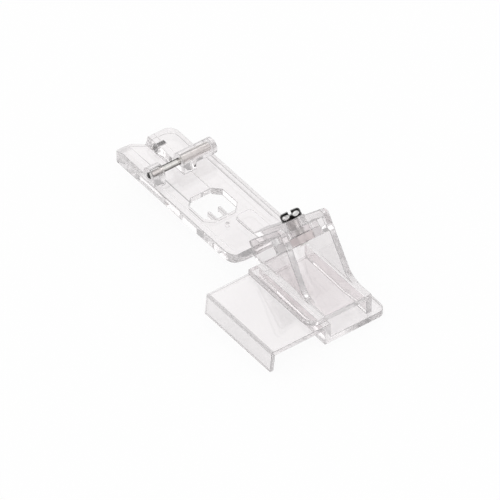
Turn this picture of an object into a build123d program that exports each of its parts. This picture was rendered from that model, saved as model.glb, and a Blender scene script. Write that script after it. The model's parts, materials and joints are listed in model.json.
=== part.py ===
from build123d import *
from math import cos, radians, sin, tan
import os

# Clear moulded presser foot with a sliding front guide, held by one slotted screw.
# Origin: middle of the bare ankle pin. X is the pin's axis, to the operator's right.
# Forward, towards the operator, is -Y, and +Z is up. All sizes are in millimetres.

# Ankle pin and the two hubs that hold it
pin_diameter = 2.0
pin_length = 20.5
pin_bare_length = 6.4
pin_end_chamfer = 0.2
hub_diameter = 5.0
hub_proud = 0.3
left_hub_length = 3.9
right_hub_block_length = 4.1
right_hub_wall = 2.6

# Sole of the foot
foot_width = 21.5
sole_drop = 5.5
sole_thickness = 3.1
rim_width = 2.0
rim_height = 0.8
toe_forward = 39.6
toe_corner_radius = 4.6
toe_slant = 1.2
toe_land = 1.9
toe_ramp = 6.2
toe_nose_height = 1.2
toe_lead_in = 1.6
toe_lead_in_height = 0.7
stitch_groove_width = 8.0
stitch_groove_depth = 0.5

# Heel: two lobes with the ankle channel between them
heel_width = 18.4
heel_height = 4.9
left_heel_length = 16.7
left_heel_radius = 2.4
left_lobe_width = 4.2
left_nose_length = 5.7
left_nose_drop = 2.4
heel_step_width = 5.9
right_heel_length = 14.1
right_heel_radius = 3.3
right_lobe_start = 9.3
channel_bevel = 0.7
heel_edge_radius = 0.4
detent_hole_diameter = 2.1
detent_hole_depth = 3.5
detent_hole_back = 10.0
detent_hole_lift = 0.2

# Needle window with its two stitch fingers
window_inset = 3.7
window_width = 11.5
window_back = 11.4
window_length = 11.1
window_corner = 2.2
finger_width = 0.9
finger_length = 4.4
finger_insets = (3.3, 6.9)
finger_thickness = 1.6
finger_tip_radius = 0.4

# Thread dot in front of the window
dot_diameter = 0.9
dot_inset = 8.0
dot_forward = 25.7

# Rising arm on the toe, which carries the guide, and its root pad along the toe
slope_angle = 45.0
slope_setback = 1.6
arm_width = 5.6
arm_thickness = 2.8
arm_proud = 1.0
arm_inset = 13.6
arm_tip_margin = 3.2
arm_tip_radius = 1.2
arm_root_length = 13.2
arm_root_radius = 1.5
arm_bend_radius = 1.6
screw_up = 15.0

# Clamp screw and square nut
thread_diameter = 3.0
screw_hole_clearance = 0.1
thread_clearance = 0.05
head_diameter = 6.0
head_height = 2.3
head_edge_radius = 0.9
screw_slot_width = 0.9
screw_slot_depth = 1.1
screw_slot_turn = 26.0
screw_tip = 0.7
nut_width = 5.5
nut_thickness = 2.4
nut_corner_chamfer = 0.4
seat_clearance = 0.05

# Guide: plates, flange and step
guide_gap = 6.0
guide_length = 30.0
guide_lift = 0.4
guide_depth = 6.8
guide_plate_reach = 18.95
guide_plate_thickness = 1.5
flange_thickness = 1.2
flange_draft = 0.6
flange_bend_radius = 0.7
web_setoff = 0.75
web_thickness = 2.0
lower_plate_thickness = 2.0
lower_plate_reach = 3.95
lower_plate_radius = 2.6

# Guide: raised panel, which roofs the tape tunnel
panel_reach = 4.65
panel_rise = 1.6
panel_length = 28.4
panel_corner_radius = 3.5
panel_edge_radius = 0.4

# Guide: bracket with two side walls and a slotted crossbar
bracket_arm_reach = 7.55
bracket_width = 16.5
bracket_wall = 1.8
bracket_top = 12.8
bracket_top_depth = 1.7
bracket_tip_radius = 0.5
bracket_base_length = 19.8
bracket_foot_run = 2.4
bracket_foot_radius = 7.0
bracket_heel_run = 2.9
bracket_heel_drop = 4.2
crossbar_thickness = 4.3
crossbar_low = 10.9
crossbar_high = 18.6
slide_clearance = 0.1
slide_travel = 5.0
pocket_clearance = 0.1

# Worked-out sizes of the foot
pin_radius = pin_diameter / 2
hub_radius = hub_diameter / 2
pin_bare_half = pin_bare_length / 2
foot_left = -(pin_bare_half + left_hub_length)
foot_right = foot_left + foot_width
sole_z = -sole_drop
rim_top = sole_z + sole_thickness
floor_z = rim_top - rim_height
lobe_top = sole_z + heel_height
toe_top_forward = toe_forward - toe_slant
ramp_end = toe_top_forward - toe_land
ramp_start = ramp_end - toe_ramp
window_left = foot_left + window_inset
window_front = window_back + window_length
left_lobe_inner = foot_left + left_lobe_width
right_lobe_inner = foot_left + right_lobe_start
heel_right = foot_left + heel_width
detent_radius = detent_hole_diameter / 2
arm_centre = foot_left + arm_inset
arm_left = arm_centre - arm_width / 2

# Worked-out places on the slope: depths grow from the bracket's back edge towards the front
slope_sin = sin(radians(slope_angle))
slope_cos = cos(radians(slope_angle))
slope_start = toe_forward - slope_setback
slope = Plane(origin=(0, -slope_start, 0), x_dir=(1, 0, 0), z_dir=(0, -slope_sin, -slope_cos))
arm_back_depth = -arm_proud
arm_front_depth = arm_thickness - arm_proud
arm_root_up = (rim_top - arm_proud * slope_cos) / slope_sin
arm_tip_up = screw_up + arm_tip_margin
crossbar_back_depth = arm_front_depth + slide_clearance
crossbar_front_depth = crossbar_back_depth + crossbar_thickness
nut_back_depth = crossbar_front_depth - nut_thickness
pocket_floor_depth = nut_back_depth - seat_clearance
shank_radius = thread_diameter / 2
slot_width = thread_diameter + 2 * screw_hole_clearance
pocket_width = nut_width + 2 * pocket_clearance

# Worked-out places of the guide
guide_back = slope_start + guide_gap
guide_plate_top = sole_z + guide_lift
plate_under = guide_plate_top - guide_plate_thickness
guide_floor = guide_plate_top - guide_depth
lower_plate_top = guide_floor + lower_plate_thickness
panel_top = guide_plate_top + panel_rise
bracket_left = arm_centre - bracket_arm_reach
bracket_right = bracket_left + bracket_width
guide_left = bracket_left - guide_plate_reach
flange_left = guide_left - flange_draft
panel_left = bracket_left - panel_reach
web_left = bracket_left - web_setoff
web_right = web_left + web_thickness
lower_plate_right = bracket_right + lower_plate_reach


def side(forward, height):
    """Point of a side profile (Plane.YZ) from its forward distance and its height."""
    return (-forward, height)


os.makedirs("parts", exist_ok=True)

# Foot moulding: sole, hubs, heel lobes and rising arm in one piece
with BuildPart() as foot:
    # Sole plate, up to the top of its rims
    with BuildSketch(Plane.XY.offset(sole_z)) as sole_outline:
        with Locations((foot_left, -toe_forward)):
            Rectangle(foot_width, toe_forward + hub_radius, align=(Align.MIN, Align.MIN))
        fillet(sole_outline.vertices().group_by(Axis.Y)[0], toe_corner_radius)
    extrude(amount=sole_thickness)

    # Tray between the rims, with a ramp up to the toe
    with BuildSketch(Plane.YZ.offset(foot_left + rim_width)):
        with BuildLine():
            Polyline(
                side(0, rim_top),
                side(ramp_end, rim_top),
                side(ramp_start, floor_z),
                side(0, floor_z),
                close=True,
            )
        make_face()
    extrude(amount=foot_width - 2 * rim_width, mode=Mode.SUBTRACT)

    # Slanted front face of the toe, and the lead-in under it
    with BuildSketch(Plane.YZ.offset(foot_left)):
        with BuildLine():
            Polyline(
                side(toe_top_forward, rim_top),
                side(toe_forward, rim_top),
                side(toe_forward, sole_z + toe_lead_in_height + toe_nose_height),
                close=True,
            )
        make_face()
        with BuildLine():
            Polyline(
                side(toe_forward - toe_lead_in, sole_z),
                side(toe_forward, sole_z),
                side(toe_forward, sole_z + toe_lead_in_height),
                close=True,
            )
        make_face()
    extrude(amount=foot_width, mode=Mode.SUBTRACT)

    # Heel block with softened top edges, later split into two lobes by the ankle channel
    with BuildSketch(Plane.XY.offset(sole_z)) as heel_outline:
        with BuildLine():
            Polyline(
                (foot_left, 0),
                (foot_left, left_heel_length),
                (foot_left + heel_step_width, left_heel_length),
                (right_lobe_inner, right_heel_length),
                (heel_right, right_heel_length),
                (heel_right, 0),
                close=True,
            )
        make_face()
        fillet(heel_outline.vertices().sort_by_distance((foot_left, left_heel_length))[0], left_heel_radius)
        fillet(heel_outline.vertices().sort_by_distance((heel_right, right_heel_length))[0], right_heel_radius)
    extrude(amount=heel_height)
    fillet(foot.faces().sort_by(Axis.Z)[-1].edges(), heel_edge_radius)

    # Rounded nose of the left lobe, falling to the back
    with BuildSketch(Plane.YZ.offset(foot_left)):
        with BuildLine():
            nose_top = (left_heel_length - left_nose_length, lobe_top)
            nose_end = (left_heel_length, lobe_top - left_nose_drop)
            TangentArc(nose_top, nose_end, tangent=(1, 0))
            Polyline(nose_end, (left_heel_length, lobe_top), nose_top)
        make_face()
    extrude(amount=right_lobe_start, mode=Mode.SUBTRACT)

    # Ankle channel, a little wider at its top
    with BuildSketch(Plane.XZ.offset(-left_heel_length)):
        with BuildLine():
            Polyline(
                (left_lobe_inner, floor_z),
                (right_lobe_inner, floor_z),
                (right_lobe_inner + channel_bevel, lobe_top),
                (left_lobe_inner - channel_bevel, lobe_top),
                close=True,
            )
        make_face()
    extrude(amount=left_heel_length - hub_radius, mode=Mode.SUBTRACT)

    # Hubs on the pin's axis, each carried down to the sole
    with BuildSketch(Plane.YZ.offset(foot_left)):
        Circle(hub_radius)
        Rectangle(hub_diameter, sole_drop, align=(Align.CENTER, Align.MAX))
    extrude(amount=left_hub_length)
    with BuildSketch(Plane.YZ.offset(pin_bare_half)):
        Circle(hub_radius)
        Rectangle(hub_diameter, sole_drop, align=(Align.CENTER, Align.MAX))
    extrude(amount=right_hub_block_length)
    with BuildSketch(Plane.YZ.offset(pin_bare_half)):
        Circle(hub_radius)
    extrude(amount=foot_right + hub_proud - pin_bare_half)
    with BuildSketch(Plane.YZ.offset(pin_bare_half)):
        with Locations((hub_radius, 0)):
            Rectangle(right_hub_wall, sole_drop, align=(Align.MAX, Align.MAX))
    extrude(amount=foot_right - pin_bare_half)

    # Open space round the bare length of the pin
    with BuildSketch(Plane.YZ.offset(-pin_bare_half)):
        with Locations((0, floor_z)):
            Rectangle(hub_diameter, hub_radius - floor_z, align=(Align.CENTER, Align.MIN))
    extrude(amount=pin_bare_length, mode=Mode.SUBTRACT)

    # Needle window
    with BuildSketch(Plane.XY.offset(sole_z)) as window_outline:
        with Locations((window_left, -window_front)):
            Rectangle(window_width, window_length, align=(Align.MIN, Align.MIN))
        chamfer(window_outline.vertices(), window_corner)
    extrude(amount=sole_thickness, mode=Mode.SUBTRACT)

    # Stitch fingers, pointing back into the window
    with BuildSketch(Plane.XY.offset(sole_z)) as finger_outline:
        for inset in finger_insets:
            with Locations((window_left + inset, -window_front - finger_width)):
                Rectangle(finger_width, finger_length + finger_width, align=(Align.CENTER, Align.MIN))
        fillet(finger_outline.vertices().group_by(Axis.Y)[-1], finger_tip_radius)
    extrude(amount=finger_thickness)

    # Thread dot
    with BuildSketch(Plane.XY.offset(rim_top)):
        with Locations((foot_left + dot_inset, -dot_forward)):
            Circle(dot_diameter / 2)
    extrude(amount=-sole_thickness, mode=Mode.SUBTRACT)

    # Shallow groove under the sole for the finished stitches, from the window to the heel
    with BuildSketch(Plane.XY.offset(sole_z)):
        with Locations((window_left + window_width / 2, -window_back)):
            Rectangle(
                stitch_groove_width, window_back + left_heel_length, align=(Align.CENTER, Align.MIN)
            )
    extrude(amount=stitch_groove_depth, mode=Mode.SUBTRACT)

    # Rising arm with its root pad on the toe, bent upwards at the slope
    with BuildSketch(Plane.XY.offset(floor_z)) as root_outline:
        with Locations((arm_left, -toe_top_forward)):
            Rectangle(arm_width, arm_root_length, align=(Align.MIN, Align.MIN))
        fillet(root_outline.vertices().group_by(Axis.Y)[-1], arm_root_radius)
    extrude(amount=rim_height)
    with BuildSketch(slope.offset(arm_back_depth)) as arm_outline:
        with Locations((arm_left, arm_root_up)):
            Rectangle(arm_width, arm_tip_up - arm_root_up, align=(Align.MIN, Align.MIN))
        fillet(arm_outline.vertices().group_by(Axis.Y)[-1], arm_tip_radius)
    extrude(amount=arm_thickness)
    bend_forward = slope_start + arm_root_up * slope_cos + arm_back_depth * slope_sin
    bend_edge = foot.edges().filter_by(Axis.X).sort_by_distance((arm_centre, -bend_forward, rim_top))[0]
    fillet(bend_edge, arm_bend_radius)

    # Holes: screw, ankle pin, and the detent in the right lobe
    with BuildSketch(slope.offset(arm_back_depth)):
        with Locations((arm_centre, screw_up)):
            Circle(shank_radius + screw_hole_clearance)
    extrude(amount=arm_thickness, mode=Mode.SUBTRACT)
    with BuildSketch(Plane.YZ.offset(foot_left)):
        Circle(pin_radius)
    extrude(amount=pin_length, mode=Mode.SUBTRACT)
    with BuildSketch(Plane.YZ.offset(right_lobe_inner)):
        with Locations((detent_hole_back, floor_z + detent_hole_lift + detent_radius)):
            Circle(detent_radius)
    extrude(amount=detent_hole_depth, mode=Mode.SUBTRACT)

foot.part.label = "foot_sole"
export_step(foot.part, "parts/foot_sole.step")

# Ankle pin, pressed through the hubs
with BuildPart() as ankle_pin:
    with BuildSketch(Plane.YZ.offset(foot_left)):
        Circle(pin_radius)
    extrude(amount=pin_length)
    chamfer(ankle_pin.edges().filter_by(GeomType.CIRCLE), pin_end_chamfer)

ankle_pin.part.label = "ankle_pin"
export_step(ankle_pin.part, "parts/ankle_pin.step")

# Guide moulding: plates, flange, tunnel and bracket in one piece
with BuildPart() as guide:
    # Flange, main plate, step and lower plate as one bent section
    with BuildSketch(Plane.XZ.offset(guide_back)):
        with BuildLine():
            Polyline(
                (flange_left, guide_floor),
                (flange_left + flange_thickness, guide_floor),
                (guide_left + flange_thickness, plate_under),
                (web_left, plate_under),
                (web_left, guide_floor),
                (lower_plate_right, guide_floor),
                (lower_plate_right, lower_plate_top),
                (web_right, lower_plate_top),
                (web_right, guide_plate_top),
                (guide_left, guide_plate_top),
                close=True,
            )
        make_face()
    extrude(amount=guide_length)
    fillet(guide.edges().filter_by(Axis.Z).group_by(Axis.X)[-1], lower_plate_radius)
    bend_point = (guide_left, -guide_back - guide_length / 2, guide_plate_top)
    fillet(guide.edges().filter_by(Axis.Y).sort_by_distance(bend_point)[0], flange_bend_radius)

    # Raised panel, with one rounded corner and softened top edges
    with BuildSketch(Plane.XY.offset(guide_plate_top)) as panel_outline:
        with Locations((panel_left, -guide_back)):
            Rectangle(bracket_right - panel_left, panel_length, align=(Align.MIN, Align.MAX))
        panel_corner = (panel_left, -guide_back - panel_length)
        fillet(panel_outline.vertices().sort_by_distance(panel_corner)[0], panel_corner_radius)
    extrude(amount=panel_rise)
    fillet(guide.faces().sort_by(Axis.Z)[-1].edges(), panel_edge_radius)

    # Tunnel's right wall
    with BuildSketch(Plane.XZ.offset(guide_back)):
        with Locations((bracket_right, guide_plate_top)):
            Rectangle(bracket_wall, guide_depth, align=(Align.MAX, Align.MAX))
    extrude(amount=panel_length)

    # Bracket side walls, each with a hollow curve from its front edge to the panel
    with BuildSketch(Plane.YZ.offset(bracket_left)) as wall_section:
        with BuildLine():
            apex_back = side(slope_start + bracket_top / tan(radians(slope_angle)), bracket_top)
            apex_front = (apex_back[0] - bracket_top_depth, bracket_top)
            wall_corner = Vector(side(guide_back + bracket_base_length, panel_top))
            wall_front = (Vector(apex_front) - wall_corner).normalized()
            curve_top = wall_corner + wall_front * bracket_foot_run
            curve_end = wall_corner + Vector(side(bracket_foot_run, 0))
            RadiusArc(curve_top, curve_end, bracket_foot_radius)
            Polyline(
                curve_end,
                (curve_end.X, guide_plate_top),
                side(guide_back, guide_plate_top),
                side(guide_back, -bracket_heel_drop),
                side(slope_start + bracket_heel_run, -bracket_heel_drop),
                side(slope_start, 0),
                apex_back,
                apex_front,
                curve_top,
            )
        make_face()
        fillet(wall_section.vertices().group_by(Axis.Y)[-1], bracket_tip_radius)
    extrude(amount=bracket_wall)
    extrude(wall_section.sketch.moved(Location((bracket_width - bracket_wall, 0, 0))), amount=bracket_wall)

    # Crossbar on the slope, with the slot for the screw and the nut's pocket
    with BuildSketch(slope.offset(crossbar_back_depth)):
        with Locations((bracket_left, crossbar_low)):
            Rectangle(bracket_width, crossbar_high - crossbar_low, align=(Align.MIN, Align.MIN))
    extrude(amount=crossbar_thickness)
    with BuildSketch(slope.offset(crossbar_back_depth)):
        with Locations((arm_centre, screw_up)):
            SlotOverall(slot_width + slide_travel, slot_width)
    extrude(amount=crossbar_thickness, mode=Mode.SUBTRACT)
    with BuildSketch(slope.offset(pocket_floor_depth)):
        with Locations((arm_centre, screw_up)):
            Rectangle(pocket_width + slide_travel, pocket_width)
    extrude(amount=crossbar_thickness, mode=Mode.SUBTRACT)

guide.part.label = "front_guide"
export_step(guide.part, "parts/front_guide.step")

# Clamp screw: slotted pan head on the arm's back, shank down through arm, crossbar and nut
screw_plane = slope.offset(arm_back_depth - seat_clearance)
shank_length = crossbar_front_depth + screw_tip - arm_back_depth + seat_clearance
with BuildPart() as clamp_screw:
    with BuildSketch(screw_plane):
        with Locations((arm_centre, screw_up)):
            Circle(head_diameter / 2)
    extrude(amount=-head_height)
    fillet(clamp_screw.edges().sort_by(Axis.Z)[-1], head_edge_radius)
    with BuildSketch(screw_plane):
        with Locations((arm_centre, screw_up)):
            Circle(shank_radius)
    extrude(amount=shank_length)
    with BuildSketch(screw_plane.offset(-head_height)):
        with Locations((arm_centre, screw_up)):
            Rectangle(screw_slot_width, head_diameter, rotation=screw_slot_turn)
    extrude(amount=screw_slot_depth, mode=Mode.SUBTRACT)

clamp_screw.part.label = "clamp_screw"
export_step(clamp_screw.part, "parts/clamp_screw.step")

# Square nut in the crossbar's pocket
with BuildPart() as clamp_nut:
    with BuildSketch(slope.offset(nut_back_depth)) as nut_outline:
        with Locations((arm_centre, screw_up)):
            Rectangle(nut_width, nut_width)
        chamfer(nut_outline.vertices(), nut_corner_chamfer)
        with Locations((arm_centre, screw_up)):
            Circle(shank_radius + thread_clearance, mode=Mode.SUBTRACT)
    extrude(amount=nut_thickness)

clamp_nut.part.label = "clamp_nut"
export_step(clamp_nut.part, "parts/clamp_nut.step")
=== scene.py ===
import json
import math

import bmesh
import bpy
from bpy.props import FloatProperty, FloatVectorProperty, IntProperty, PointerProperty
from bpy.types import Operator, Panel, PropertyGroup
from mathutils import Matrix, Vector
from mathutils.bvhtree import BVHTree
from mathutils.geometry import intersect_point_line


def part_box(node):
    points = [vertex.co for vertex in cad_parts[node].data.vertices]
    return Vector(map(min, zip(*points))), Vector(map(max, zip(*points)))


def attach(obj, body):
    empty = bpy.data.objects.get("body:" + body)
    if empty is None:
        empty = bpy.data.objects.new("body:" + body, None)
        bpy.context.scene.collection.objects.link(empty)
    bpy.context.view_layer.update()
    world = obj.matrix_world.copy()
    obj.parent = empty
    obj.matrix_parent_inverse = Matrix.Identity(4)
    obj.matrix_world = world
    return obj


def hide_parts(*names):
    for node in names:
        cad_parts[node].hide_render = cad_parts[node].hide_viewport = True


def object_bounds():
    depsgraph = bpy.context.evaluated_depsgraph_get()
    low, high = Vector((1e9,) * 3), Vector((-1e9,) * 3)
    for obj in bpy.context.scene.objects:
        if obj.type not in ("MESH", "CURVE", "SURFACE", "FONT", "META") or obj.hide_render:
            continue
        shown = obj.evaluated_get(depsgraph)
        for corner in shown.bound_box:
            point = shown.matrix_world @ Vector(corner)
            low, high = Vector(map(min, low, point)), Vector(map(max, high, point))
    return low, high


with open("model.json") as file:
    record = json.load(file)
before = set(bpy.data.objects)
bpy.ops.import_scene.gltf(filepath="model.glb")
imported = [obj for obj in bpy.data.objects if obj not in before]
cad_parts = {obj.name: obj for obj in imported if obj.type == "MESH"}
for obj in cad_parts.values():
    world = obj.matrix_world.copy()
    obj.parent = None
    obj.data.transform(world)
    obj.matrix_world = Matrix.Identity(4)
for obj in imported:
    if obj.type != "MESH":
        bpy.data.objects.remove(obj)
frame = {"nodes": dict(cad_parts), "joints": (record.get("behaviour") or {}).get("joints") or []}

bl_info = {
    "name": "Presser foot with a sliding guide",
    "version": (1, 0, 0),
    "blender": (4, 5, 0),
    "location": "View3D > Sidebar > Presser foot",
    "description": "Finishes a clear moulded presser foot, its guide, pin, screw and nut on a white stage",
    "category": "Object",
}

CAD_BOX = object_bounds()
MM = 0.001

# The clamp screw's axis, which points from the nut to the head, and a point on it
CLAMP = next(joint for joint in frame["joints"] if joint["name"] == "clamp_turn")
CLAMP_POINT = Vector(CLAMP["pos_m"])
CLAMP_AXIS = Vector(CLAMP["axis"]).normalized()
# The way that the screw's slot runs, and the way across it
SLOT_TURN = Matrix.Rotation(math.radians(-26), 3, CLAMP_AXIS)
SLOT_WAY = (SLOT_TURN @ CLAMP_AXIS.cross((1, 0, 0))).normalized()
SLOT_ACROSS = CLAMP_AXIS.cross(SLOT_WAY)

# Blind hole along X in the right lobe of the heel: its mouth, and the room that holds its wall and bottom
HOLE_MOUTH = Vector((2.2, 10.0, -1.95)) * MM
HOLE_SLACK = 0.2 * MM
HOLE_DEPTH = 3.6 * MM
HOLE_RADIUS = 1.12 * MM

# Where the pin's bare length ends on the right and its pressed-in length starts
PIN_PRESSED = 3.2 * MM

# Radii of the roundings on metal, and the facets across each
PIN_ROUND = 0.05 * MM
SCREW_ROUND = 0.06 * MM
NUT_ROUND = 0.08 * MM
METAL_STEPS = 2

# Mark on the faces of a blind hole, where a rounding has one and a flat face nought; the higher the mark, the
# darker the painted shade
DRILLED = 2.0

# Least and greatest width of the long faces that are satin, and how satin they are
GUIDE_END_WIDTHS = (0.0, 2.4 * MM)
GUIDE_END_SATIN = 1.0
FOOT_SIDE_WIDTHS = (1.0 * MM, 4.0 * MM)
FOOT_SIDE_SATIN = 0.4

# Angles and sizes that sort the edges of a solid's mesh
WELD = 0.0005 * MM
FLAT_ANGLE = math.radians(0.5)
SHARP_ANGLE = math.radians(32)
FORK_ANGLE = math.radians(25)
CRISP_ANGLE = math.radians(3)
CRISP_AREA = 6 * MM * MM
ROOM_IN_RADII = 2.05

# Threaded shank: how far it starts inside the head, its lead-in, its facets round and its rings along
THREAD_OVERLAP = 0.3 * MM
THREAD_TAPER = 0.5 * MM
THREAD_FACETS = 33
THREAD_RINGS = 161
# Where its flank starts and ends, as shares of a pitch from the crest, and how thick its tip is
THREAD_CREST = 0.08
THREAD_ROOT = 0.42
THREAD_TIP = 0.78

# Painted highlights on the side of the screw's head, as shares of its radius and then of its height
SPOT_ACROSS = 0.5
SPOT_HALF_WIDTH = 0.36
SPOT_LEVEL = 0.46
SPOT_HALF_HEIGHT = 0.3

# Point that the camera looks at, and how often light may bounce in the clear plastic
CAMERA_TARGET = Vector((-2.93, -41.15, 0.0)) * MM
LIGHT_BOUNCES = 64


class ClearMouldingSettings(PropertyGroup):
    """Finish of the two clear mouldings"""

    foot_tint: FloatVectorProperty(
        name="Foot tint", description="Colour that light takes on in the foot",
        subtype="COLOR", size=3, min=0, max=1, default=(0.94, 0.914, 0.919))
    guide_tint: FloatVectorProperty(
        name="Guide tint", description="Colour that light takes on in the guide",
        subtype="COLOR", size=3, min=0, max=1, default=(0.955, 0.929, 0.934))
    body_colour: FloatVectorProperty(
        name="Body colour", description="Colour that a long way through the plastic leaves over",
        subtype="COLOR", size=3, min=0, max=1, default=(0.57, 0.47, 0.49))
    body_density: FloatProperty(
        name="Body density", description="How soon the body colour shows", default=1.0, min=0)
    refraction: FloatProperty(
        name="Refraction", description="Index of refraction of the clear plastic",
        default=1.53, min=1.3, max=1.8)
    edge_round: FloatProperty(
        name="Edge round", description="Radius of the moulded edges", default=0.14 * MM, min=0,
        unit="LENGTH", precision=5)
    edge_steps: IntProperty(
        name="Edge steps", description="Facets across each moulded edge", default=3, min=1, max=4)


class MetalSettings(PropertyGroup):
    """Finish of the pin, the screw and the nut"""

    pin_colour: FloatVectorProperty(
        name="Pin", description="Polished metal of the ankle pin",
        subtype="COLOR", size=3, min=0, max=1, default=(0.95, 0.93, 0.9))
    screw_colour: FloatVectorProperty(
        name="Screw", description="Blackened metal of the clamp screw",
        subtype="COLOR", size=3, min=0, max=1, default=(0.02, 0.019, 0.018))
    # Colour of the painted highlights beside the slot's ends, and the bare metal colour of the thread
    screw_highlight_and_thread: FloatVectorProperty(
        name="Bare screw", description="Bare metal beside the ends of the screw's slot and on its thread",
        subtype="COLOR", size=3, min=0, max=1, default=(0.97, 0.96, 0.95))
    thread_pitch: FloatProperty(
        name="Thread pitch", description="From one turn of the screw's thread to the next",
        default=0.5 * MM, min=0.1 * MM, unit="LENGTH", precision=5)
    thread_depth: FloatProperty(
        name="Thread depth", description="From the crest of the screw's thread to its root",
        default=0.28 * MM, min=0, unit="LENGTH", precision=5)
    nut_colour: FloatVectorProperty(
        name="Nut", description="Satin metal of the square nut",
        subtype="COLOR", size=3, min=0, max=1, default=(0.96, 0.9, 0.89))


class StageSettings(PropertyGroup):
    """White stage, lamps and camera"""

    floor_size: FloatProperty(
        name="Floor", description="Side of the square floor", default=6.0, min=1, unit="LENGTH")
    floor_white: FloatProperty(
        name="Floor white", description="Share of the floor that shows plain white",
        default=0.92, min=0, max=1, subtype="FACTOR")
    floor_through: FloatProperty(
        name="Floor through plastic", description="Share of the floor that shows plain white in what shines",
        default=0.82, min=0, max=1, subtype="FACTOR")
    camera_turn: FloatProperty(
        name="Camera turn", description="Angle of the camera round the foot",
        default=math.radians(-36.7), subtype="ANGLE")
    camera_lift: FloatProperty(
        name="Camera lift", description="Angle of the camera above the floor",
        default=math.radians(42.0), subtype="ANGLE")
    camera_distance: FloatProperty(
        name="Camera distance", description="From the camera to the point that it looks at",
        default=5.343, min=0.1, unit="LENGTH")
    camera_lens: FloatProperty(
        name="Lens", description="Focal length in millimetres", default=1400.0, min=10, max=1600)


# Node tree helpers

def new_material(name):
    """An empty node material with its output node."""
    material = bpy.data.materials.new(name)
    material.use_nodes = True
    material.node_tree.nodes.clear()
    return material, material.node_tree, material.node_tree.nodes.new("ShaderNodeOutputMaterial")


def math_node(tree, operation, first, second=None, third=None):
    """A Math node over sockets or numbers, and its output."""
    node = tree.nodes.new("ShaderNodeMath")
    node.operation = operation
    for socket, value in zip(node.inputs, (first, second, third)):
        if value is None:
            continue
        if isinstance(value, (int, float)):
            socket.default_value = value
        else:
            tree.links.new(value, socket)
    return node.outputs[0]


def noise(tree, vector, scale, detail=2.0, roughness=0.5):
    """A noise texture's value over a vector socket."""
    node = tree.nodes.new("ShaderNodeTexNoise")
    node.inputs["Scale"].default_value = scale
    node.inputs["Detail"].default_value = detail
    node.inputs["Roughness"].default_value = roughness
    tree.links.new(vector, node.inputs["Vector"])
    return node.outputs["Fac"]


def remap(tree, value, low, high, to_low, to_high):
    """A clamped Map Range of a value."""
    node = tree.nodes.new("ShaderNodeMapRange")
    tree.links.new(value, node.inputs["Value"])
    for name, number in (("From Min", low), ("From Max", high), ("To Min", to_low), ("To Max", to_high)):
        if isinstance(number, (int, float)):
            node.inputs[name].default_value = number
        else:
            tree.links.new(number, node.inputs[name])
    return node.outputs["Result"]


def mapping(tree, vector, scale, rotation=(0, 0, 0)):
    """A Mapping node's vector."""
    node = tree.nodes.new("ShaderNodeMapping")
    node.inputs["Scale"].default_value = scale
    node.inputs["Rotation"].default_value = rotation
    tree.links.new(vector, node.inputs["Vector"])
    return node.outputs["Vector"]


def scaled(tree, vector, scale):
    """A vector or colour socket times a value."""
    node = tree.nodes.new("ShaderNodeVectorMath")
    node.operation = "SCALE"
    tree.links.new(vector, node.inputs[0])
    tree.links.new(scale, node.inputs["Scale"])
    return node.outputs["Vector"]


def along(tree, vector, way):
    """How far a vector socket reaches along a direction."""
    node = tree.nodes.new("ShaderNodeVectorMath")
    node.operation = "DOT_PRODUCT"
    tree.links.new(vector, node.inputs[0])
    node.inputs[1].default_value = way
    return node.outputs["Value"]


def face_mark(tree, name):
    """The value that the faces of a piece carry under a name."""
    node = tree.nodes.new("ShaderNodeAttribute")
    node.attribute_name = name
    return node.outputs["Fac"]


def turned_away(tree):
    """How far a surface is turned away from the view, from nought to one."""
    node = tree.nodes.new("ShaderNodeLayerWeight")
    node.inputs["Blend"].default_value = 0.5
    return node.outputs["Facing"]


def object_vector(tree):
    """Object coordinates."""
    return tree.nodes.new("ShaderNodeTexCoord").outputs["Object"]


def bump(tree, height, strength, distance):
    """A Bump node's normal from a height."""
    node = tree.nodes.new("ShaderNodeBump")
    node.inputs["Strength"].default_value = strength
    node.inputs["Distance"].default_value = distance
    tree.links.new(height, node.inputs["Height"])
    return node.outputs["Normal"]


def new_group(name, inputs, outputs):
    """A shader node group with named sockets, its input node and its output node."""
    tree = bpy.data.node_groups.new(name, "ShaderNodeTree")
    for label, kind, default in inputs:
        socket = tree.interface.new_socket(name=label, in_out="INPUT", socket_type=kind)
        if default is not None:
            socket.default_value = default
    for label, kind in outputs:
        tree.interface.new_socket(name=label, in_out="OUTPUT", socket_type=kind)
    return tree, tree.nodes.new("NodeGroupInput"), tree.nodes.new("NodeGroupOutput")


def place_group(tree, group, vector, **values):
    """A group node over Object coordinates, with its own values."""
    node = tree.nodes.new("ShaderNodeGroup")
    node.node_tree = group
    tree.links.new(vector, node.inputs["Vector"])
    for key, value in values.items():
        node.inputs[key.replace("_", " ").capitalize()].default_value = value
    return node


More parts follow.
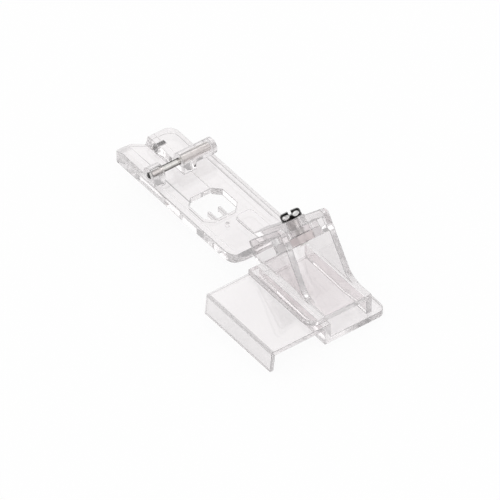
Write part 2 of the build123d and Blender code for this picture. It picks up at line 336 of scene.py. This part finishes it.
def moulding_flow_group():
    """Flow marks, haze and handling marks of clear moulded plastic."""
    group, given, made = new_group(
        "moulding_flow",
        [("Vector", "NodeSocketVector", None), ("Tint", "NodeSocketColor", (1, 1, 1, 1)),
         ("Clouding", "NodeSocketFloat", 0.03), ("Haze", "NodeSocketFloat", 0.03),
         ("Scuffs", "NodeSocketFloat", 0.05)],
        [("Tint", "NodeSocketColor"), ("Roughness", "NodeSocketFloat"), ("Height", "NodeSocketFloat")])
    vector = given.outputs["Vector"]
    stretched = mapping(group, vector, scale=(260, 90, 260))
    flow = noise(group, stretched, 1.0, 3.0)
    wide = noise(group, vector, 95.0, 2.0)
    cloud = math_node(group, "MULTIPLY", math_node(group, "ADD", flow, wide), 0.5)
    shade = math_node(group, "SUBTRACT", 1.0, math_node(group, "MULTIPLY", cloud, given.outputs["Clouding"]))
    group.links.new(scaled(group, given.outputs["Tint"], shade), made.inputs["Tint"])
    scratched = mapping(group, vector, scale=(2600, 240, 900), rotation=(0.2, 0.1, 0.5))
    scratch = noise(group, scratched, 1.0, 2.0)
    scuff = remap(group, scratch, 0.62, 0.74, 0.0, given.outputs["Scuffs"])
    rough = math_node(group, "MULTIPLY_ADD", wide, given.outputs["Haze"], scuff)
    group.links.new(rough, made.inputs["Roughness"])
    sink = noise(group, vector, 160.0, 1.0)
    group.links.new(sink, made.inputs["Height"])
    return group


def metal_wear_group():
    """Turning lines, fine scratches and stains of polished metal."""
    group, given, made = new_group(
        "metal_wear",
        [("Vector", "NodeSocketVector", None), ("Colour", "NodeSocketColor", (1, 1, 1, 1)),
         ("Stain", "NodeSocketFloat", 0.2), ("Polish", "NodeSocketFloat", 0.1),
         ("Grime", "NodeSocketFloat", 0.0), ("Lines", "NodeSocketFloat", 0.1),
         ("Line scale", "NodeSocketVector", (4000, 300, 300))],
        [("Colour", "NodeSocketColor"), ("Roughness", "NodeSocketFloat"), ("Height", "NodeSocketFloat")])
    vector = given.outputs["Vector"]
    stretch = group.nodes.new("ShaderNodeVectorMath")
    stretch.operation = "MULTIPLY"
    group.links.new(vector, stretch.inputs[0])
    group.links.new(given.outputs["Line scale"], stretch.inputs[1])
    lines = noise(group, stretch.outputs["Vector"], 1.0, 4.0, 0.6)
    blotch = noise(group, vector, 900.0, 3.0)
    clean = math_node(group, "SUBTRACT", 1.0, math_node(group, "MULTIPLY", blotch, given.outputs["Stain"]))
    dirt = remap(group, lines, 0.53, 0.61, 0.0, given.outputs["Grime"])
    shade = math_node(group, "MULTIPLY", clean, math_node(group, "SUBTRACT", 1.0, dirt))
    group.links.new(scaled(group, given.outputs["Colour"], shade), made.inputs["Colour"])
    rough = math_node(group, "MULTIPLY_ADD", lines, given.outputs["Lines"], given.outputs["Polish"])
    group.links.new(rough, made.inputs["Roughness"])
    group.links.new(lines, made.inputs["Height"])
    return group


def shared_group(name, build):
    """The node group of that name, built on first use."""
    return bpy.data.node_groups.get(name) or build()


def clear_plastic(name, tint, clear):
    """Clear moulded plastic with flow marks, scuffs, painted grey shade on the roundings, painted dark shade
    in a marked blind hole, satin end faces and a body colour.
    """
    material, tree, output = new_material(name)
    flow = place_group(
        tree, shared_group("moulding_flow", moulding_flow_group), object_vector(tree),
        tint=(*tint, 1), clouding=0.03, haze=0.03, scuffs=0.06)
    shader = tree.nodes.new("ShaderNodeBsdfPrincipled")
    shader.inputs["IOR"].default_value = clear.refraction
    shader.inputs["Transmission Weight"].default_value = 1.0
    shader.inputs["Metallic"].default_value = 0.0
    steep = remap(tree, math_node(tree, "POWER", turned_away(tree), 2.5), 0.0, 1.0, 1.0, 0.3)
    rounding = face_mark(tree, "rounding")
    # Painted shade: roundings darken to grey and the faces of a blind hole to near black
    painted_shade = remap(tree, rounding, 0.0, DRILLED, 1.0, 0.2)
    shade = math_node(tree, "MULTIPLY", steep, painted_shade)
    tree.links.new(scaled(tree, flow.outputs["Tint"], shade), shader.inputs["Base Color"])
    dull = math_node(tree, "MULTIPLY_ADD", rounding, 0.06, flow.outputs["Roughness"])
    satin = math_node(tree, "MULTIPLY_ADD", face_mark(tree, "end_face"), 0.3, dull)
    tree.links.new(satin, shader.inputs["Roughness"])
    tree.links.new(bump(tree, flow.outputs["Height"], 0.12, 0.02 * MM), shader.inputs["Normal"])
    tree.links.new(shader.outputs["BSDF"], output.inputs["Surface"])
    body = tree.nodes.new("ShaderNodeVolumeAbsorption")
    body.inputs["Color"].default_value = (*clear.body_colour, 1)
    body.inputs["Density"].default_value = clear.body_density
    tree.links.new(body.outputs["Volume"], output.inputs["Volume"])
    return material


def metal_surface(tree, output, colour, rough, normal):
    """A metal shader from a colour, a roughness and a normal, joined to the material's output."""
    shader = tree.nodes.new("ShaderNodeBsdfPrincipled")
    shader.inputs["Metallic"].default_value = 1.0
    tree.links.new(colour, shader.inputs["Base Color"])
    tree.links.new(rough, shader.inputs["Roughness"])
    tree.links.new(normal, shader.inputs["Normal"])
    tree.links.new(shader.outputs["BSDF"], output.inputs["Surface"])


def worn_metal(name, colour, stain, polish, grime, lines, line_scale, relief, rod=None):
    """Polished or satin metal with turning lines and stains.

    A rod along X, given as its two ends and the place where its pressed-in length starts, has painted shade
    on its ends and painted dark reflections along its edges up to that place, and a satin finish past it.
    """
    material, tree, output = new_material(name)
    vector = object_vector(tree)
    wear = place_group(
        tree, shared_group("metal_wear", metal_wear_group), vector,
        colour=(*colour, 1), stain=stain, polish=polish, grime=grime, lines=lines, line_scale=line_scale)
    shade = wear.outputs["Colour"]
    rough = wear.outputs["Roughness"]
    if rod:
        start, end, pressed = rod
        place = along(tree, vector, (1, 0, 0))
        off_middle = math_node(tree, "ABSOLUTE", math_node(tree, "SUBTRACT", place, (start + end) / 2))
        reach = (end - start) / 2
        # Painted shade on the rod's ends, and painted dark reflections along its edges up to the pressed-in
        # length
        plain = remap(tree, off_middle, reach - 0.06 * MM, reach, 1.0, 0.08)
        satin = remap(tree, place, pressed, pressed + 0.1 * MM, 0.0, 1.0)
        painted_rim_reflection = remap(tree, turned_away(tree), 0.12, 0.42, 1.0, 0.1)
        shade = scaled(tree, scaled(tree, shade, plain), math_node(tree, "MAXIMUM", painted_rim_reflection, satin))
        rough = math_node(tree, "MULTIPLY_ADD", satin, 0.3, rough)
    metal_surface(tree, output, shade, rough, bump(tree, wear.outputs["Height"], 0.2, relief))
    return material


def blackened_screw(name, metal, under, top, wide):
    """Blackened screw with painted highlights on its head's side beside the ends of the slot, and a bare
    thread.

    The head lies between two heights along the clamp's axis, and wide is its radius.
    """
    material, tree, output = new_material(name)
    vector = object_vector(tree)
    way = tree.nodes.new("ShaderNodeVectorMath")
    way.operation = "SUBTRACT"
    tree.links.new(vector, way.inputs[0])
    way.inputs[1].default_value = CLAMP_POINT
    height = along(tree, way.outputs["Vector"], CLAMP_AXIS)
    beside = math_node(tree, "ABSOLUTE", along(tree, way.outputs["Vector"], SLOT_ACROSS))
    ahead = math_node(tree, "ABSOLUTE", along(tree, way.outputs["Vector"], SLOT_WAY))
    # Painted highlights: ragged patches on the head's side beside the slot's ends; the thread below the head
    # keeps the bare metal colour
    aside = math_node(tree, "SUBTRACT", beside, SPOT_ACROSS * wide)
    wide_off = math_node(tree, "DIVIDE", aside, SPOT_HALF_WIDTH * wide)
    above = math_node(tree, "SUBTRACT", height, SPOT_LEVEL * top + (1 - SPOT_LEVEL) * under)
    high_off = math_node(tree, "DIVIDE", above, SPOT_HALF_HEIGHT * (top - under))
    reach = math_node(
        tree, "ADD", math_node(tree, "POWER", math_node(tree, "ABSOLUTE", wide_off), 2.0),
        math_node(tree, "POWER", math_node(tree, "ABSOLUTE", high_off), 2.0))
    ragged = math_node(tree, "MULTIPLY_ADD", noise(tree, vector, 1400.0, 3.0), 0.6, reach)
    highlight = remap(tree, ragged, 1.0, 1.35, 1.0, 0.0)
    side = remap(tree, ahead, 0.45 * wide, 0.55 * wide, 0.0, 1.0)
    thread = remap(tree, height, under - 0.3 * MM, under, 1.0, 0.0)
    highlight_and_thread = math_node(tree, "MAXIMUM", math_node(tree, "MULTIPLY", highlight, side), thread)
    colour = tree.nodes.new("ShaderNodeMix")
    colour.data_type = "RGBA"
    tree.links.new(highlight_and_thread, colour.inputs["Factor"])
    colour.inputs[6].default_value = (*metal.screw_colour, 1)
    colour.inputs[7].default_value = (*metal.screw_highlight_and_thread, 1)
    wear = place_group(
        tree, shared_group("metal_wear", metal_wear_group), vector,
        stain=0.2, polish=0.16, lines=0.12, line_scale=(1500, 1500, 1500))
    tree.links.new(colour.outputs[2], wear.inputs["Colour"])
    normal = bump(tree, wear.outputs["Height"], 0.2, 0.004 * MM)
    metal_surface(tree, output, wear.outputs["Colour"], wear.outputs["Roughness"], normal)
    return material


# Mesh helpers

def turns_by(edge, angle):
    """Whether the two faces of an edge meet at more than an angle."""
    return edge.is_manifold and edge.calc_face_angle() > angle


def sharp_edges(shape):
    """The sharp edges, less those that leave a corner side by side."""
    found = {edge for edge in shape.edges if turns_by(edge, SHARP_ANGLE)}
    beside = set()
    for corner in shape.verts:
        ways = [(edge, edge.other_vert(corner).co - corner.co) for edge in corner.link_edges if edge in found]
        for index, (edge, way) in enumerate(ways):
            for other, other_way in ways[:index]:
                if way.angle(other_way) < FORK_ANGLE:
                    beside |= {edge, other}
    return found - beside


def nearest_on(point, start, end):
    """The place on an edge that lies nearest to a point."""
    share = intersect_point_line(point, start, end)[1]
    return start.lerp(end, min(max(share, 0.0), 1.0))


def step_between(start, end, other_start, other_end):
    """The shortest step from one edge to another."""
    steps = [nearest_on(point, other_start, other_end) - point for point in (start, end)]
    steps += [point - nearest_on(point, start, end) for point in (other_start, other_end)]
    return min(steps, key=lambda step: step.length)


def crowded_edges(shape, edges, radius):
    """The edges that face another one across a surface with no room for both to be rounded."""
    crowded = set()
    for face in shape.faces:
        sides = [
            (loop.edge, loop.vert.co, loop.link_loop_next.vert.co)
            for loop in face.loops if loop.edge in edges]
        for index, (edge, start, end) in enumerate(sides):
            way = (end - start).normalized()
            inward = face.normal.cross(way)
            for other, other_start, other_end in sides[:index]:
                facing = way.dot((other_end - other_start).normalized()) < -0.5
                if not facing or set(edge.verts) & set(other.verts):
                    continue
                step = step_between(start, end, other_start, other_end)
                if step.dot(inward) > 0 and step.length < ROOM_IN_RADII * radius:
                    crowded |= {edge, other}
    return crowded


def crisp_edges(shape):
    """The edges where two large flat faces meet at an angle."""
    return [
        edge for edge in shape.edges
        if turns_by(edge, CRISP_ANGLE)
        and min(face.calc_area() for face in edge.link_faces) > CRISP_AREA
    ]


def merged_copy(node, radius):
    """A new mesh from a solid, its flat faces whole, and weighted sharp edges where a radius fits."""
    mesh = frame["nodes"][node].data.copy()
    if "custom_normal" in mesh.attributes:
        mesh.attributes.remove(mesh.attributes["custom_normal"])
    mesh.materials.clear()
    shape = bmesh.new()
    shape.from_mesh(mesh)
    bmesh.ops.remove_doubles(shape, verts=shape.verts, dist=WELD)
    bmesh.ops.dissolve_limit(shape, angle_limit=FLAT_ANGLE, verts=shape.verts, edges=shape.edges)
    weight = shape.edges.layers.float.new("bevel_weight_edge")
    rounded = sharp_edges(shape)
    rounded -= crowded_edges(shape, rounded, radius)
    for face in shape.faces:
        face.smooth = True
    for edge in crisp_edges(shape):
        edge.smooth = False
    for edge in shape.edges:
        if edge in rounded:
            edge[weight] = 1.0
        elif turns_by(edge, SHARP_ANGLE):
            edge.smooth = False
    shape.to_mesh(mesh)
    shape.free()
    return mesh


def add_object(name, mesh):
    """A new object at the origin."""
    obj = bpy.data.objects.new(name, mesh)
    bpy.context.scene.collection.objects.link(obj)
    return obj


def bake_modifiers(obj):
    """Turns the evaluated object into a plain mesh and removes its modifiers."""
    graph = bpy.context.evaluated_depsgraph_get()
    mesh = bpy.data.meshes.new_from_object(obj.evaluated_get(graph), depsgraph=graph)
    obj.modifiers.clear()
    obj.data = mesh
    mesh.name = obj.name


def rounded_edges(obj, radius, steps):
    """Rounds the weighted edges of a piece and keeps its flat faces flat.

    The roundings take the second of two empty material slots, from which they are marked for painted grey
    shade and a duller finish.
    """
    for _ in range(2):
        obj.data.materials.append(None)
    bevel = obj.modifiers.new("rounded edges", "BEVEL")
    bevel.width = radius
    bevel.segments = steps
    bevel.limit_method = "WEIGHT"
    bevel.use_clamp_overlap = False
    bevel.harden_normals = True
    bevel.miter_outer = "MITER_ARC"
    bevel.material = 1
    bake_modifiers(obj)
    mark = obj.data.attributes.new("rounding", "FLOAT", "FACE")
    for face in obj.data.polygons:
        mark.data[face.index].value = face.material_index
        face.material_index = 0


def settle_strays(obj, node, reach):
    """Brings back to a solid's surface the corners that rounding threw further off it than a reach."""
    solid = frame["nodes"][node].data
    surface = BVHTree.FromPolygons(
        [vertex.co for vertex in solid.vertices], [face.vertices for face in solid.polygons])
    for vertex in obj.data.vertices:
        nearest, _, _, distance = surface.find_nearest(vertex.co)
        if distance > reach:
            vertex.co = nearest
    obj.data.update()


def mark_end_faces(obj, widths, satin):
    """Marks the long flat faces whose width lies between two limits for a satin finish."""
    narrowest, widest = widths
    mesh = obj.data
    mark = mesh.attributes.new("end_face", "FLOAT", "FACE")
    rounded = mesh.attributes["rounding"]
    for face in mesh.polygons:
        corners = [mesh.vertices[index].co for index in face.vertices]
        length = max((one - other).length for one in corners for other in corners)
        flat = rounded.data[face.index].value == 0
        if flat and length > 2 * widest and narrowest * length <= face.area < widest * length:
            mark.data[face.index].value = satin


def darken_hole(obj):
    """Marks the wall and the bottom of the heel's blind hole for painted dark shade and a dull finish."""
    mesh = obj.data
    inside = set()
    for corner in mesh.vertices:
        way = corner.co - HOLE_MOUTH
        if -HOLE_SLACK < way.x < HOLE_DEPTH and math.hypot(way.y, way.z) < HOLE_RADIUS:
            inside.add(corner.index)
    mark = mesh.attributes["rounding"]
    for face in mesh.polygons:
        if inside.issuperset(face.vertices):
            mark.data[face.index].value = DRILLED


def along_clamp(point):
    """How far a point lies along the clamp screw's axis, towards its head."""
    return (point - CLAMP_POINT).dot(CLAMP_AXIS)


def off_clamp(point):
    """How far a point lies from the clamp screw's axis."""
    return (point - CLAMP_POINT).cross(CLAMP_AXIS).length


def head_only(mesh, under):
    """Cuts a screw's mesh across its axis and keeps the closed head."""
    shape = bmesh.new()
    shape.from_mesh(mesh)
    everything = shape.verts[:] + shape.edges[:] + shape.faces[:]
    cut = CLAMP_POINT + CLAMP_AXIS * under
    bmesh.ops.bisect_plane(shape, geom=everything, plane_co=cut, plane_no=CLAMP_AXIS, clear_inner=True)
    bmesh.ops.holes_fill(shape, edges=[edge for edge in shape.edges if edge.is_boundary])
    bmesh.ops.recalc_face_normals(shape, faces=shape.faces)
    shape.to_mesh(mesh)
    shape.free()
    return mesh


def thread_tree():
    """Geometry Nodes for a threaded shank: a sheet wrapped to a helix by a rule, closed at both ends."""
    tree = bpy.data.node_groups.new("threaded_shank", "GeometryNodeTree")
    tree.interface.new_socket(name="Geometry", in_out="INPUT", socket_type="NodeSocketGeometry")
    for label, kind in (
        ("Radius", "NodeSocketFloat"), ("Depth", "NodeSocketFloat"), ("Pitch", "NodeSocketFloat"),
        ("Length", "NodeSocketFloat"), ("Taper", "NodeSocketFloat"), ("Around", "NodeSocketInt"),
        ("Along", "NodeSocketInt"), ("Start", "NodeSocketVector"), ("Turn", "NodeSocketRotation"),
        ("Material", "NodeSocketMaterial"),
    ):
        tree.interface.new_socket(name=label, in_out="INPUT", socket_type=kind)
    tree.interface.new_socket(name="Geometry", in_out="OUTPUT", socket_type="NodeSocketGeometry")
    given = tree.nodes.new("NodeGroupInput").outputs
    made = tree.nodes.new("NodeGroupOutput")

    sheet = tree.nodes.new("GeometryNodeMeshGrid")
    sheet.inputs["Size X"].default_value = 1.0
    sheet.inputs["Size Y"].default_value = 1.0
    tree.links.new(given["Around"], sheet.inputs["Vertices X"])
    tree.links.new(given["Along"], sheet.inputs["Vertices Y"])
    place = tree.nodes.new("ShaderNodeSeparateXYZ")
    tree.links.new(tree.nodes.new("GeometryNodeInputPosition").outputs["Position"], place.inputs[0])
    around = math_node(tree, "ADD", place.outputs["X"], 0.5)
    down = math_node(tree, "ADD", place.outputs["Y"], 0.5)
    angle = math_node(tree, "MULTIPLY", around, math.tau)
    depth = math_node(tree, "MULTIPLY", down, given["Length"])

    turns = math_node(tree, "ADD", math_node(tree, "DIVIDE", depth, given["Pitch"]), around)
    flank = math_node(tree, "PINGPONG", turns, 0.5)
    groove = remap(tree, flank, THREAD_CREST, THREAD_ROOT, 0.0, given["Depth"])
    crest = math_node(tree, "SUBTRACT", given["Radius"], groove)
    left = math_node(tree, "SUBTRACT", given["Length"], depth)
    narrow = remap(tree, math_node(tree, "DIVIDE", left, given["Taper"]), 0.0, 1.0, THREAD_TIP, 1.0)
    lead = math_node(tree, "MULTIPLY", given["Radius"], narrow)
    body = math_node(tree, "MINIMUM", crest, lead)
    short_of_ends = 0.4999
    inside = math_node(tree, "LESS_THAN", math_node(tree, "ABSOLUTE", place.outputs["Y"]), short_of_ends)
    radius = math_node(tree, "MULTIPLY", body, inside)

    wrapped = tree.nodes.new("ShaderNodeCombineXYZ")
    tree.links.new(math_node(tree, "MULTIPLY", radius, math_node(tree, "COSINE", angle)), wrapped.inputs["X"])
    tree.links.new(math_node(tree, "MULTIPLY", radius, math_node(tree, "SINE", angle)), wrapped.inputs["Y"])
    tree.links.new(math_node(tree, "MULTIPLY", depth, -1.0), wrapped.inputs["Z"])
    bent = tree.nodes.new("GeometryNodeSetPosition")
    tree.links.new(sheet.outputs["Mesh"], bent.inputs["Geometry"])
    tree.links.new(wrapped.outputs[0], bent.inputs["Position"])
    closed = tree.nodes.new("GeometryNodeMergeByDistance")
    closed.inputs["Distance"].default_value = 0.002 * MM
    tree.links.new(bent.outputs["Geometry"], closed.inputs["Geometry"])
    smooth = tree.nodes.new("GeometryNodeSetShadeSmooth")
    tree.links.new(closed.outputs["Geometry"], smooth.inputs["Geometry"])
    turned = tree.nodes.new("GeometryNodeTransform")
    tree.links.new(smooth.outputs["Geometry"], turned.inputs["Geometry"])
    tree.links.new(given["Start"], turned.inputs["Translation"])
    tree.links.new(given["Turn"], turned.inputs["Rotation"])
    whole = tree.nodes.new("GeometryNodeJoinGeometry")
    tree.links.new(turned.outputs["Geometry"], whole.inputs["Geometry"])
    tree.links.new(given["Geometry"], whole.inputs["Geometry"])
    real = tree.nodes.new("GeometryNodeRealizeInstances")
    tree.links.new(whole.outputs["Geometry"], real.inputs["Geometry"])
    coated = tree.nodes.new("GeometryNodeSetMaterial")
    tree.links.new(real.outputs["Geometry"], coated.inputs["Geometry"])
    tree.links.new(given["Material"], coated.inputs["Material"])
    tree.links.new(coated.outputs["Geometry"], made.inputs["Geometry"])
    return tree


def add_thread(obj, material, values):
    """Gives a screw's head its threaded shank and makes both one plain mesh."""
    tree = bpy.data.node_groups.get("threaded_shank") or thread_tree()
    modifier = obj.modifiers.new("threaded shank", "NODES")
    modifier.node_group = tree
    sockets = {item.name: item.identifier for item in tree.interface.items_tree if item.in_out == "INPUT"}
    for label, value in {**values, "Material": material}.items():
        modifier[sockets[label]] = value
    bake_modifiers(obj)


def finish_piece(obj, material, body, node):
    """Gives a finished piece its material and body, and hides the solid that it stands for."""
    obj.data.materials.clear()
    obj.data.materials.append(material)
    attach(obj, body)
    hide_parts(node)


class PRESSER_OT_foot(Operator):
    """Finish the clear foot with rounded moulded edges"""

    bl_idname = "presser.foot"
    bl_label = "Foot moulding"

    def execute(self, context):
        clear = context.scene.presser_clear
        foot = add_object("clear_foot", merged_copy("foot_sole", clear.edge_round))
        rounded_edges(foot, clear.edge_round, clear.edge_steps)
        settle_strays(foot, "foot_sole", clear.edge_round / 2)
        darken_hole(foot)
        mark_end_faces(foot, FOOT_SIDE_WIDTHS, FOOT_SIDE_SATIN)
        material = clear_plastic("clear_foot_plastic", clear.foot_tint, clear)
        finish_piece(foot, material, "foot", "foot_sole")
        return {"FINISHED"}


class PRESSER_OT_guide(Operator):
    """Finish the clear sliding guide with rounded moulded edges"""

    bl_idname = "presser.guide"
    bl_label = "Guide moulding"

    def execute(self, context):
        clear = context.scene.presser_clear
        guide = add_object("clear_guide", merged_copy("front_guide", clear.edge_round))
        rounded_edges(guide, clear.edge_round, clear.edge_steps)
        settle_strays(guide, "front_guide", clear.edge_round / 2)
        mark_end_faces(guide, GUIDE_END_WIDTHS, GUIDE_END_SATIN)
        material = clear_plastic("clear_guide_plastic", clear.guide_tint, clear)
        finish_piece(guide, material, "guide", "front_guide")
        return {"FINISHED"}


class PRESSER_OT_pin(Operator):
    """Finish the polished ankle pin"""

    bl_idname = "presser.pin"
    bl_label = "Ankle pin"

    def execute(self, context):
        metal = context.scene.presser_metal
        pin = add_object("polished_pin", merged_copy("ankle_pin", PIN_ROUND))
        rounded_edges(pin, PIN_ROUND, METAL_STEPS)
        low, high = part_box("ankle_pin")
        material = worn_metal(
            "polished_pin_metal", metal.pin_colour, stain=0.12, polish=0.03, grime=0.2, lines=0.06,
            line_scale=(5200, 260, 260), relief=0.002 * MM, rod=(low.x, high.x, PIN_PRESSED))
        finish_piece(pin, material, "foot", "ankle_pin")
        return {"FINISHED"}


class PRESSER_OT_screw(Operator):
    """Finish the dark slotted clamp screw"""

    bl_idname = "presser.screw"
    bl_label = "Clamp screw"

    def execute(self, context):
        metal = context.scene.presser_metal
        mesh = merged_copy("clamp_screw", SCREW_ROUND)
        corners = [vertex.co for vertex in mesh.vertices]
        top = max(along_clamp(corner) for corner in corners)
        tip = min(along_clamp(corner) for corner in corners)
        wide = max(off_clamp(corner) for corner in corners)
        under = min(along_clamp(corner) for corner in corners if off_clamp(corner) > 0.98 * wide)
        shank = max(off_clamp(corner) for corner in corners if along_clamp(corner) < under - 0.1 * MM)
        cut = under + 0.01 * MM
        screw = add_object("slotted_screw", head_only(mesh, cut))
        rounded_edges(screw, SCREW_ROUND, METAL_STEPS)
        material = blackened_screw("blackened_screw_metal", metal, under, top, wide)
        start = cut + THREAD_OVERLAP
        add_thread(screw, material, {
            "Radius": shank,
            "Depth": metal.thread_depth,
            "Pitch": metal.thread_pitch,
            "Length": start - tip,
            "Taper": THREAD_TAPER,
            "Around": THREAD_FACETS,
            "Along": THREAD_RINGS,
            "Start": CLAMP_POINT + CLAMP_AXIS * start,
            "Turn": CLAMP_AXIS.to_track_quat("Z", "Y").to_euler(),
        })
        finish_piece(screw, material, "screw", "clamp_screw")
        return {"FINISHED"}


class PRESSER_OT_nut(Operator):
    """Finish the satin square nut"""

    bl_idname = "presser.nut"
    bl_label = "Square nut"

    def execute(self, context):
        metal = context.scene.presser_metal
        nut = add_object("square_nut", merged_copy("clamp_nut", NUT_ROUND))
        rounded_edges(nut, NUT_ROUND, METAL_STEPS)
        material = worn_metal(
            "satin_nut_metal", metal.nut_colour, stain=0.15, polish=0.18, grime=0.8, lines=0.2,
            line_scale=(1400, 140, 140), relief=0.006 * MM)
        finish_piece(nut, material, "foot", "clamp_nut")
        return {"FINISHED"}


def shows_background(tree):
    """Camera rays, and then glossy and transmission rays together, as ones and noughts."""
    path = tree.nodes.new("ShaderNodeLightPath").outputs
    shine = math_node(tree, "MAXIMUM", path["Is Glossy Ray"], path["Is Transmission Ray"])
    return path["Is Camera Ray"], shine


def glow(tree, kind, level, white):
    """An even glow of a level, or plain white where white is one."""
    node = tree.nodes.new(kind)
    node.inputs["Color"].default_value = (1, 1, 1, 1)
    tree.links.new(math_node(tree, "MAXIMUM", level, white), node.inputs["Strength"])
    return node.outputs[0]


def white_floor(share, through, middle):
    """Pale floor that shows white, fades out of the light in what shines, and keeps a soft shadow."""
    material, tree, output = new_material("white_floor")
    paint = tree.nodes.new("ShaderNodeBsdfPrincipled")
    paint.inputs["Roughness"].default_value = 0.9
    paint.inputs["Base Color"].default_value = (0.94, 0.94, 0.94, 1)
    reach = tree.nodes.new("ShaderNodeVectorMath")
    reach.operation = "DISTANCE"
    reach.inputs[1].default_value = middle
    tree.links.new(object_vector(tree), reach.inputs[0])
    level = remap(tree, reach.outputs["Value"], 0.1, 0.6, 1.0, 0.75)
    camera, shine = shows_background(tree)
    blend = tree.nodes.new("ShaderNodeMixShader")
    past = math_node(tree, "MULTIPLY", camera, share)
    tree.links.new(math_node(tree, "MULTIPLY_ADD", shine, through, past), blend.inputs[0])
    tree.links.new(paint.outputs[0], blend.inputs[1])
    tree.links.new(glow(tree, "ShaderNodeEmission", level, camera), blend.inputs[2])
    tree.links.new(blend.outputs[0], output.inputs["Surface"])
    return material


def studio_world():
    """White for the camera; dark low behind and pale ahead for what shines; soft light for the rest."""
    world = bpy.data.worlds.new("studio")
    world.use_nodes = True
    tree = world.node_tree
    tree.nodes.clear()
    output = tree.nodes.new("ShaderNodeOutputWorld")
    way = tree.nodes.new("ShaderNodeTexCoord").outputs["Generated"]
    part = tree.nodes.new("ShaderNodeSeparateXYZ")
    tree.links.new(way, part.inputs[0])
    behind = remap(tree, part.outputs["Z"], 0.5, 0.95, 0.3, 0.85)
    ahead = remap(tree, part.outputs["Z"], 0.1, 0.6, 0.62, 1.0)
    turn = remap(tree, part.outputs["Y"], -0.4, 0.2, 0.0, 1.0)
    level = math_node(tree, "MULTIPLY_ADD", turn, math_node(tree, "SUBTRACT", behind, ahead), ahead)
    camera, shine = shows_background(tree)
    seen = math_node(tree, "MAXIMUM", camera, shine)
    soft = tree.nodes.new("ShaderNodeBackground")
    soft.inputs["Color"].default_value = (1, 1, 1, 1)
    soft.inputs["Strength"].default_value = 0.75
    blend = tree.nodes.new("ShaderNodeMixShader")
    tree.links.new(seen, blend.inputs[0])
    tree.links.new(soft.outputs[0], blend.inputs[1])
    tree.links.new(glow(tree, "ShaderNodeBackground", level, camera), blend.inputs[2])
    tree.links.new(blend.outputs[0], output.inputs["Surface"])
    return world


def soft_lamp(name, place, aim, size, power):
    """A soft box that points at a place."""
    lamp = bpy.data.lights.new(name, "AREA")
    lamp.shape = "RECTANGLE"
    lamp.size, lamp.size_y = size
    lamp.energy = power
    obj = bpy.data.objects.new(name, lamp)
    obj.location = place
    obj.rotation_mode = "QUATERNION"
    obj.rotation_quaternion = (aim - place).to_track_quat("-Z", "Y")
    bpy.context.scene.collection.objects.link(obj)


def add_floor(stage, middle):
    """A square floor just under the part."""
    half = stage.floor_size / 2
    level = CAD_BOX[0].z - 0.02 * MM
    mesh = bpy.data.meshes.new("floor")
    corners = [(-half, -half), (half, -half), (half, half), (-half, half)]
    mesh.from_pydata([(x, y, level) for x, y in corners], [], [(0, 1, 2, 3)])
    floor = add_object("floor", mesh)
    mesh.materials.append(white_floor(stage.floor_white, stage.floor_through, middle))


def add_camera(scene, stage):
    """A far camera with a long lens, turned and lifted round the point that it looks at."""
    turn, lift = stage.camera_turn, stage.camera_lift
    back = Vector((math.sin(turn) * math.cos(lift), -math.cos(turn) * math.cos(lift), math.sin(lift)))
    camera = bpy.data.objects.new("camera", bpy.data.cameras.new("camera"))
    scene.collection.objects.link(camera)
    camera.location = CAMERA_TARGET + back * stage.camera_distance
    camera.rotation_mode = "QUATERNION"
    camera.rotation_quaternion = (-back).to_track_quat("-Z", "Y")
    camera.data.lens = stage.camera_lens
    camera.data.clip_start = 0.01
    scene.camera = camera


class PRESSER_OT_stage(Operator):
    """Make the white floor, the studio light and the camera"""

    bl_idname = "presser.stage"
    bl_label = "Stage, lamps and camera"

    def execute(self, context):
        scene = context.scene
        stage = scene.presser_stage
        middle = (CAD_BOX[0] + CAD_BOX[1]) / 2
        add_floor(stage, middle)
        scene.world = studio_world()
        soft_lamp("key", middle + Vector((-0.3, -0.2, 0.9)), middle, size=(0.8, 0.8), power=2.0)
        soft_lamp("back", middle + Vector((0.5, 0.5, 0.6)), middle, size=(0.6, 0.6), power=1.1)
        add_camera(scene, stage)
        scene.view_settings.view_transform = "Standard"
        scene.cycles.max_bounces = LIGHT_BOUNCES
        scene.cycles.transmission_bounces = LIGHT_BOUNCES
        scene.cycles.glossy_bounces = LIGHT_BOUNCES
        return {"FINISHED"}


class PRESSER_PT_panel(Panel):
    """Sizes and finishes of the presser foot"""

    bl_idname = "PRESSER_PT_panel"
    bl_label = "Presser foot"
    bl_space_type = "VIEW_3D"
    bl_region_type = "UI"
    bl_category = "Presser foot"

    def draw(self, context):
        scene = context.scene
        for settings, operators in (
            (scene.presser_clear, ("presser.foot", "presser.guide")),
            (scene.presser_metal, ("presser.pin", "presser.screw", "presser.nut")),
            (scene.presser_stage, ("presser.stage",)),
        ):
            box = self.layout.box()
            for name in settings.__annotations__:
                box.prop(settings, name)
            for operator in operators:
                box.operator(operator)


CLASSES = (
    ClearMouldingSettings, MetalSettings, StageSettings, PRESSER_OT_foot, PRESSER_OT_guide, PRESSER_OT_pin,
    PRESSER_OT_screw, PRESSER_OT_nut, PRESSER_OT_stage, PRESSER_PT_panel,
)
SETTINGS = {
    "presser_clear": ClearMouldingSettings,
    "presser_metal": MetalSettings,
    "presser_stage": StageSettings,
}


def register():
    for made in CLASSES:
        bpy.utils.register_class(made)
    for name, settings in SETTINGS.items():
        setattr(bpy.types.Scene, name, PointerProperty(type=settings))


def unregister():
    for name in SETTINGS:
        delattr(bpy.types.Scene, name)
    for made in reversed(CLASSES):
        bpy.utils.unregister_class(made)


def main():
    register()
    bpy.ops.presser.foot()
    bpy.ops.presser.guide()
    bpy.ops.presser.pin()
    bpy.ops.presser.screw()
    bpy.ops.presser.nut()
    bpy.ops.presser.stage()


if __name__ == "__main__":
    main()
